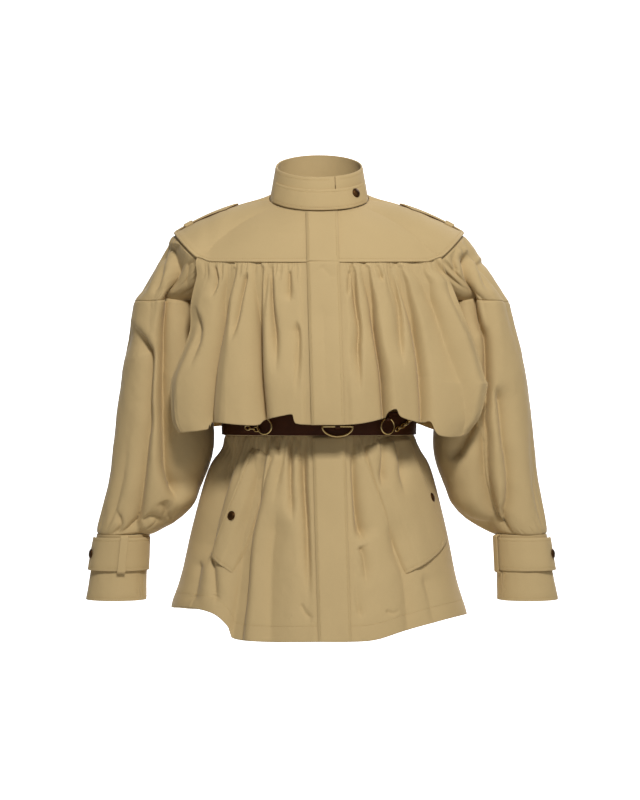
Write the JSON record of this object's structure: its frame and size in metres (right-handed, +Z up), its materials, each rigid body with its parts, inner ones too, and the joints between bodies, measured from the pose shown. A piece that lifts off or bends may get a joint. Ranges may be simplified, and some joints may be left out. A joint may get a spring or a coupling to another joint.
{
  "type": "belted cape jacket",
  "caption": "Short belted cotton jacket with stand collar and throat tab, gathered cape flounce, puffed sleeves, cuff straps and a gathered peplum with snapped pockets.",
  "frame": {"origin": "middle of the neck opening at the level of the side of the neck seam, on the axis of the hanger's hook", "axes": "+Z up, -Y the front of the coat, +X the wearer's left"},
  "size_m": [0.684, 0.3234, 0.703],
  "materials": {
    "cotton_twill": "fine twill, soft sheen",
    "cotton_lining": "plain weave, dull",
    "belt_leather": "smooth, semi-gloss",
    "pale_brass": "polished",
    "bronze_snap": "burnished, dark",
    "horn_button": "satin"
  },
  "bodies": {
    "coat_body": {"yoke_back": "cotton_twill", "flounce_back": "cotton_twill", "waistband": "cotton_twill", "peplum_back": "cotton_twill", "collar_stand": "cotton_twill", "hanger_loop": "cotton_twill", "placket_yoke": "cotton_twill", "placket_chest": "cotton_twill", "bodice_back": "cotton_lining", "fly_underlap": "cotton_lining", "belt": "belt_leather", "collar_snap_stud": "bronze_snap", "fly_button_chest_1": "horn_button", "fly_button_peplum_1": "horn_button", "fly_button_peplum_2": "horn_button", "chain_left": "pale_brass", "chain_right": "pale_brass", "ring_carrier_centre": "belt_leather", "yoke_front_left": "cotton_twill", "flounce_front_left": "cotton_twill", "peplum_front_left": "cotton_twill", "sleeve_cap_left": "cotton_twill", "bodice_front_left": "cotton_lining", "pocket_bag_left": "cotton_lining", "pocket_snap_stud_left": "bronze_snap", "ring_carrier_left": "belt_leather", "yoke_front_right": "cotton_twill", "flounce_front_right": "cotton_twill", "peplum_front_right": "cotton_twill", "sleeve_cap_right": "cotton_twill", "bodice_front_right": "cotton_lining", "pocket_bag_right": "cotton_lining", "pocket_snap_stud_right": "bronze_snap", "ring_carrier_right": "belt_leather"},
    "throat_tab": {"collar_tab": "cotton_twill", "collar_snap_cap": "bronze_snap"},
    "fly_placket": {"placket_peplum": "cotton_twill"},
    "dee_ring": {"ring_centre": "pale_brass"},
    "epaulette_strap_left": {"epaulette_left": "cotton_twill", "epaulette_keeper_left": "cotton_twill"},
    "arm_left": {"sleeve_left": "cotton_twill", "cuff_left": "cotton_twill", "cuff_snap_stud_left": "bronze_snap"},
    "wrist_strap_left": {"cuff_strap_left": "cotton_twill", "cuff_snap_cap_left": "bronze_snap", "cuff_keeper_left": "cotton_twill"},
    "pocket_flap_left": {"pocket_welt_left": "cotton_twill", "pocket_snap_cap_left": "bronze_snap"},
    "belt_ring_left": {"ring_left": "pale_brass"},
    "epaulette_strap_right": {"epaulette_right": "cotton_twill", "epaulette_keeper_right": "cotton_twill"},
    "arm_right": {"sleeve_right": "cotton_twill", "cuff_right": "cotton_twill", "cuff_snap_stud_right": "bronze_snap"},
    "wrist_strap_right": {"cuff_strap_right": "cotton_twill", "cuff_snap_cap_right": "bronze_snap", "cuff_keeper_right": "cotton_twill"},
    "pocket_flap_right": {"pocket_welt_right": "cotton_twill", "pocket_snap_cap_right": "bronze_snap"},
    "belt_ring_right": {"ring_right": "pale_brass"}
  },
  "joints": [
    {"name": "collar_tab_open", "type": "hinge", "parent": "coat_body", "child": "throat_tab", "pos_m": [-0.06565, -0.02612, -0.00405], "axis": [-0.1644, -0.1732, -0.9711], "range_deg": [0, 105]},
    {"name": "placket_open", "type": "hinge", "parent": "coat_body", "child": "fly_placket", "pos_m": [-0.00989, -0.10543, -0.34712], "axis": [0.0302, -0.2206, -0.9749], "range_deg": [0, 80]},
    {"name": "dee_ring_swing", "type": "hinge", "parent": "coat_body", "child": "dee_ring", "pos_m": [0.02607, -0.11009, -0.327], "axis": [-0.9914, -0.131, 0], "range_deg": [0, 100]},
    {"name": "epaulette_left_lift", "type": "hinge", "parent": "coat_body", "child": "epaulette_strap_left", "pos_m": [0.20825, 0, -0.04668], "axis": [0, 1, 0], "range_deg": [0, 80]},
    {"name": "sleeve_left_raise", "type": "hinge", "parent": "coat_body", "child": "arm_left", "pos_m": [0.19, 0.005, -0.095], "axis": [0, -1, 0], "range_deg": [0, 60], "deforming": ["sleeve_cap_left"]},
    {"name": "cuff_strap_left_open", "type": "hinge", "parent": "arm_left", "child": "wrist_strap_left", "pos_m": [0.25483, 0.00244, -0.488], "axis": [0.0423, -0.0008, -0.9991], "range_deg": [0, 95]},
    {"name": "pocket_flap_left_open", "type": "hinge", "parent": "coat_body", "child": "pocket_flap_left", "pos_m": [0.07547, -0.10326, -0.39604], "axis": [0.332, -0.0822, -0.9397], "range_deg": [0, 90]},
    {"name": "belt_ring_left_swing", "type": "hinge", "parent": "coat_body", "child": "belt_ring_left", "pos_m": [0.09695, -0.08495, -0.316], "axis": [-0.8476, -0.5306, 0], "range_deg": [0, 100]},
    {"name": "epaulette_right_lift", "type": "hinge", "parent": "coat_body", "child": "epaulette_strap_right", "pos_m": [-0.20825, 0, -0.04668], "axis": [0, -1, 0], "range_deg": [0, 80]},
    {"name": "sleeve_right_raise", "type": "hinge", "parent": "coat_body", "child": "arm_right", "pos_m": [-0.19, 0.005, -0.095], "axis": [0, 1, 0], "range_deg": [0, 60], "deforming": ["sleeve_cap_right"]},
    {"name": "cuff_strap_right_open", "type": "hinge", "parent": "arm_right", "child": "wrist_strap_right", "pos_m": [-0.24656, 0.00244, -0.488], "axis": [0.0423, 0.0008, 0.9991], "range_deg": [0, 95]},
    {"name": "pocket_flap_right_open", "type": "hinge", "parent": "coat_body", "child": "pocket_flap_right", "pos_m": [-0.07547, -0.10326, -0.39604], "axis": [0.332, 0.0822, 0.9397], "range_deg": [0, 90]},
    {"name": "belt_ring_right_swing", "type": "hinge", "parent": "coat_body", "child": "belt_ring_right", "pos_m": [-0.07664, -0.09568, -0.316], "axis": [-0.9148, 0.4039, 0], "range_deg": [0, 100]}
  ]
}
